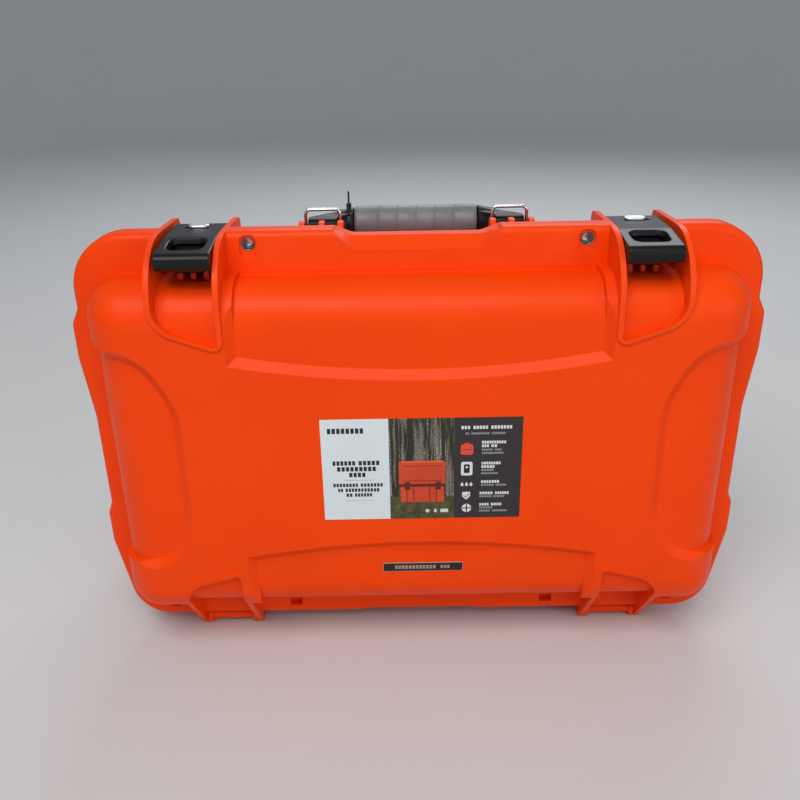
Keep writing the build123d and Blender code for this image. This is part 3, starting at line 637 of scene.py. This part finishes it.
# ---------------------------------------------------------------- printed label and nameplate
def printed_film(name, colour, rough=0.34, drift=0.06):
    """Printed plastic film: a faint drift in the ink, fine dots and a slightly wavy gloss."""
    n = Nodes(name, Specular_IOR_Level=0.35)
    lighter = tuple(min(1.0, c * (1 + drift)) for c in colour[:3]) + (1,)
    darker = tuple(c * (1 - drift) for c in colour[:3]) + (1,)
    base = n.mix(n.remap(n.noise(40.0, 5.0), 0.3, 0.7, 0.0, 1.0), darker, lighter)
    dots = n.noise(3000.0, 1.0)
    base = n.mix(n.remap(dots, 0.45, 0.75, 0.0, 0.25), base, darker)
    roughness = n.remap(n.noise(90.0, 3.0), 0.3, 0.7, rough - 0.05, rough + 0.06)
    return n.finish(base, roughness, n.bump(n.noise(160.0, 2.0), 0.12, 0.00015))


def forest_print():
    """Printed picture of a dark wood: upright trunks over shaded leaves."""
    n = Nodes("label_forest", Specular_IOR_Level=0.35, Roughness=0.34)
    upright = n.add("ShaderNodeMapping", Vector=n.coords, Scale=(1.0, 1.0, 0.045)).outputs["Vector"]
    trunks = n.remap(n.noise(420.0, 2.0, 0.6, upright), 0.50, 0.60, 0.0, 1.0)
    leaves = n.noise(900.0, 6.0, 0.75)
    dark = n.mix(n.remap(leaves, 0.35, 0.65, 0.0, 1.0), (0.002, 0.003, 0.001, 1), (0.040, 0.042, 0.020, 1))
    bark = n.mix(n.remap(leaves, 0.40, 0.60, 0.0, 1.0), (0.035, 0.026, 0.017, 1), (0.300, 0.250, 0.190, 1))
    picture = n.mix(trunks, dark, bark)
    sky = n.math("MULTIPLY", n.remap(n.noise(300.0, 3.0, 0.6, upright), 0.54, 0.62, 0.0, 1.0),
                 n.remap(leaves, 0.46, 0.56, 0.0, 1.0))
    return n.finish(n.mix(n.math("MULTIPLY", sky, 0.85), picture, (0.50, 0.52, 0.47, 1)), None,
                    n.bump(n.noise(160.0, 2.0), 0.12, 0.00015))


def grass_print():
    """Printed picture of mossy ground."""
    n = Nodes("label_ground", Specular_IOR_Level=0.35, Roughness=0.34)
    tufts = n.noise(1100.0, 6.0, 0.75)
    moss = n.mix(n.remap(n.noise(140.0, 3.0), 0.35, 0.65, 0.0, 1.0), (0.060, 0.065, 0.022, 1),
                 (0.190, 0.160, 0.060, 1))
    return n.finish(n.mix(n.remap(tufts, 0.40, 0.62, 0.0, 1.0), (0.022, 0.024, 0.010, 1), moss), None,
                    n.bump(n.noise(160.0, 2.0), 0.12, 0.00015))


def block(left, top, right, bottom, corner=0.0):
    """Rounded rectangle, in millimetres right of and below the print's upper left corner."""
    if corner == 0.0:
        return [(left, top), (right, top), (right, bottom), (left, bottom)]
    outline = []
    centres = [(right - corner, top + corner, -90), (right - corner, bottom - corner, 0),
               (left + corner, bottom - corner, 90), (left + corner, top + corner, 180)]
    for x, y, start in centres:
        for step in range(5):
            turn = radians(start + 22.5 * step)
            outline.append((x + corner * cos(turn), y + corner * sin(turn)))
    return outline


def disc(x, y, radius, sides=20):
    """Round dot of a print."""
    return [(x + radius * cos(2 * pi * k / sides), y + radius * sin(2 * pi * k / sides))
            for k in range(sides)]


def drop(x, y, radius):
    """Water drop of a print, its tip up."""
    round_part = [radians(-30 + 24 * k) for k in range(11)]
    return [(x + radius * cos(t), y + radius * sin(t)) for t in round_part] + [(x, y - 2.2 * radius)]


def words(top, height, spans):
    """Rows of small blocks that stand for a line of printing; spans are the words' ends."""
    blocks = []
    for start, end in spans:
        count = max(1, round((end - start) / (0.85 * height)))
        pitch = (end - start) / count
        for k in range(count):
            left = start + k * pitch
            blocks.append(block(left, top, left + 0.74 * pitch, top + height))
    return blocks


def print_piece(name, node, slot, layers):
    """A thin piece built of flat layers (outline, level, material), the top level at the CAD front."""
    low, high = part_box(node)
    levels = 1 + max(level for outline, level, material in layers)
    materials = []
    work = bmesh.new()
    for outline, level, material in layers:
        if material not in materials:
            materials.append(material)
        front = low.y + (levels - 1 - level) * PRINT_STEP
        back = high.y if level == 0 else front + 1.5 * PRINT_STEP
        near = [work.verts.new((low.x + x * MM, front, high.z - y * MM)) for x, y in outline]
        far = [work.verts.new((low.x + x * MM, back, high.z - y * MM)) for x, y in outline]
        faces = [work.faces.new(near), work.faces.new(far[::-1])]
        for i in range(len(near)):
            j = (i + 1) % len(near)
            faces.append(work.faces.new((near[i], far[i], far[j], near[j])))
        for face in faces:
            face.material_index = materials.index(material)
    bmesh.ops.recalc_face_normals(work, faces=work.faces)
    mesh = bpy.data.meshes.new(name)
    work.to_mesh(mesh)
    work.free()
    indices = [face.material_index for face in mesh.polygons]
    piece = link_mesh(name, mesh)
    dress(piece, "case_lid", slot, materials, node)
    piece.data.polygons.foreach_set("material_index", indices)


LEFT_LINES = [        # distance below the top, height, and the ends of each word
    (7.8, 4.6, [(5.5, 35.0)]), (36.8, 4.0, [(8.6, 27.5), (29.5, 47.0)]), (42.2, 4.0, [(12.0, 44.0)]),
    (47.5, 4.0, [(21.5, 35.5)]), (57.4, 3.1, [(8.3, 29.0), (30.5, 49.0)]),
    (62.0, 3.1, [(12.0, 16.5), (18.0, 46.0)]), (66.6, 3.1, [(18.5, 24.0), (25.5, 40.0)])]
RIGHT_HEADING = [(7.2, 2.8, [(111.5, 119.0), (121.0, 133.0), (135.0, 152.0)])]
RIGHT_BOLD = [(20.6, 2.4, [(128.0, 147.5)]), (23.8, 2.4, [(128.0, 134.0), (135.5, 140.5)]),
              (39.4, 2.4, [(128.0, 143.5)]), (42.6, 2.4, [(128.0, 139.0)]), (56.4, 2.4, [(128.0, 143.0)]),
              (67.0, 2.4, [(127.0, 138.0), (139.5, 151.0)]), (77.6, 2.4, [(127.0, 135.0), (136.5, 145.5)])]
RIGHT_THIN = [(13.0, 1.8, [(115.0, 118.0), (119.5, 134.0), (135.5, 146.5)]),
              (27.6, 1.7, [(128.0, 137.0), (138.5, 144.0)]), (30.6, 1.7, [(128.0, 145.5)]),
              (46.0, 1.7, [(128.0, 138.0)]), (49.0, 1.7, [(128.0, 141.5)]),
              (59.8, 1.7, [(128.0, 138.5), (140.0, 148.5)]), (70.4, 1.7, [(127.0, 137.0), (138.0, 147.5)]),
              (81.0, 1.7, [(127.0, 138.0)]), (84.0, 1.7, [(127.0, 136.0), (137.5, 150.0)])]


def picture_layers(width, height):
    """The label's middle: a wood, mossy ground and an orange case on it."""
    case = printed_film("label_case", (0.62, 0.060, 0.018, 1), drift=0.15)
    case_dark = printed_film("label_case_shade", (0.110, 0.014, 0.008, 1))
    case_light = printed_film("label_case_light", (0.80, 0.150, 0.060, 1))
    pale = printed_film("label_marks", (0.62, 0.62, 0.58, 1))
    ground = [(54.0, height), (106.0, height)]
    for k in range(14):
        x = 106.0 - 52.0 * k / 13
        ground.append((x, 70.0 + 1.6 * sin(1.7 * k) + 0.8 * sin(4.1 * k)))
    layers = [(block(54.0, 0.0, 106.0, height), 0, forest_print()), (ground, 1, grass_print()),
              (block(61.5, 37.5, 99.2, 60.0, 2.2), 2, case), (block(63.0, 59.0, 98.0, 75.5, 1.6), 2, case),
              (block(61.8, 58.8, 98.8, 61.2), 3, case_dark), (block(64.0, 38.2, 96.8, 39.0), 3, case_light),
              (block(64.5, 42.0, 96.2, 42.5), 3, case_dark), (block(64.5, 55.6, 96.2, 56.1), 3, case_dark)]
    for x in (67.5, 73.0, 86.0, 91.5):
        layers.append((block(x, 61.0, x + 0.7, 75.0), 3, case_dark))
    for x in (66.0, 91.0):
        layers.append((block(x, 57.0, x + 4.5, 64.0, 0.8), 4, case_dark))
    layers += [(disc(84.5, 84.0, 1.7), 2, pale), (drop(91.0, 84.4, 1.3), 2, pale),
               (block(95.0, 82.4, 101.5, 85.6, 0.6), 2, pale)]
    return layers


def make_label():
    """Printed sticker with blocks for the lines of print, small signs and a picture."""
    low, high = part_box("label_sticker")
    width, height = (high.x - low.x) / MM, (high.z - low.z) / MM
    white = printed_film("label_white", (0.66, 0.73, 0.75, 1), drift=0.02)
    ink = printed_film("label_ink", (0.016, 0.018, 0.022, 1))
    charcoal = printed_film("label_charcoal", (0.030, 0.025, 0.027, 1), 0.30)
    pale = printed_film("label_pale", (0.70, 0.70, 0.70, 1))
    grey = printed_film("label_grey", (0.28, 0.28, 0.29, 1))
    orange = printed_film("label_orange", (0.70, 0.075, 0.030, 1))
    layers = [(block(0.0, 0.0, 54.0, height), 0, white), (block(106.0, 0.0, width, height), 0, charcoal)]
    layers += picture_layers(width, height)
    for lines, material in ((LEFT_LINES, ink), (RIGHT_HEADING, pale), (RIGHT_BOLD, pale), (RIGHT_THIN, grey)):
        for top, tall, spans in lines:
            layers += [(outline, 1, material) for outline in words(top, tall, spans)]
    layers += [(block(18.0, 54.2, 41.0, 54.6), 1, grey), (block(18.0, 73.4, 41.0, 73.7), 1, grey)]
    layers += [(block(111.2, 23.5, 121.2, 32.8, 1.6), 1, orange),
               (block(114.0, 22.2, 118.4, 23.6, 0.4), 1, orange),
               (block(112.4, 27.6, 120.0, 28.1), 2, ink)]
    layers += [(block(111.6, 39.2, 120.8, 51.6, 1.6), 1, pale),
               (block(113.8, 41.4, 118.6, 49.4, 1.0), 2, ink), (disc(116.2, 44.0, 1.0), 3, pale)]
    layers += [(drop(x, 60.2, 1.25), 1, pale) for x in (112.6, 116.2, 119.8)]
    shield = [(112.8, 66.8), (119.2, 66.8), (119.2, 71.0), (116.0, 74.2), (112.8, 71.0)]
    tick = [(114.2, 70.0), (115.6, 71.4), (118.2, 68.4), (118.6, 68.8), (115.6, 72.2), (113.8, 70.4)]
    layers += [(shield, 1, pale), (tick, 2, ink)]
    layers += [(disc(116.4, 82.0, 3.9), 1, pale), (block(115.9, 78.4, 116.9, 85.6), 2, ink),
               (block(112.7, 81.5, 120.1, 82.5), 2, ink)]
    print_piece("label_print", "label_sticker", "label_print", layers)


def make_nameplate():
    """Small black plate with a thin pale edge and two groups of blocks."""
    low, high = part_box("nameplate")
    width, height = (high.x - low.x) / MM, (high.z - low.z) / MM
    black = printed_film("plate_black", (0.016, 0.012, 0.010, 1), 0.30)
    edge = printed_film("plate_edge", (0.42, 0.38, 0.34, 1))
    tan = printed_film("plate_blocks", (0.34, 0.24, 0.17, 1))
    layers = [(block(0.0, 0.0, width, height, 1.0), 0, edge),
              (block(0.3, 0.3, width - 0.3, height - 0.3, 0.8), 1, black)]
    for outline in words(2.4, 3.6, [(10.0, 45.5)]) + words(2.6, 3.2, [(49.0, 57.5)]):
        layers.append((outline, 2, tan))
    print_piece("nameplate_print", "nameplate", "plate_black", layers)


# ---------------------------------------------------------------- floor
def add_stage():
    """Pale floor that curves up into a low wall all round, far from the case."""
    profile = [(0.02, 0.0), (0.6, 0.0), (1.6, 0.0)]
    for step in range(13):
        turn = radians(FLOOR_BEND_DEGREES * step / 12)
        profile.append((FLOOR_REACH + FLOOR_BEND * sin(turn), FLOOR_BEND * (1 - cos(turn))))
    points, faces = [], []
    for radius, height in profile:
        for k in range(FLOOR_SIDES):
            angle = 2 * pi * k / FLOOR_SIDES
            points.append((radius * cos(angle), radius * sin(angle), cad_box[0][2] + height))
    for i in range(len(profile) - 1):
        for k in range(FLOOR_SIDES):
            a, b = i * FLOOR_SIDES + k, i * FLOOR_SIDES + (k + 1) % FLOOR_SIDES
            faces.append((a, b, b + FLOOR_SIDES, a + FLOOR_SIDES))
    faces.append(tuple(range(FLOOR_SIDES - 1, -1, -1)))
    floor = mesh_piece("floor", points, faces)
    n = Nodes("floor_paper", Roughness=0.85, Specular_IOR_Level=0.2)
    floor.data.materials.append(n.finish(n.mix(n.noise(3.0), (0.60, 0.60, 0.60, 1), (0.64, 0.64, 0.63, 1))))


# ---------------------------------------------------------------- the whole scene
bpy.context.scene.view_settings.view_transform = "Standard"
add_camera()
add_world()
for light in LIGHTS:
    add_area_light(*light)
add_stage()
make_shells()
make_latches()
make_handle()
make_inside()
make_fittings()
make_label()
make_nameplate()
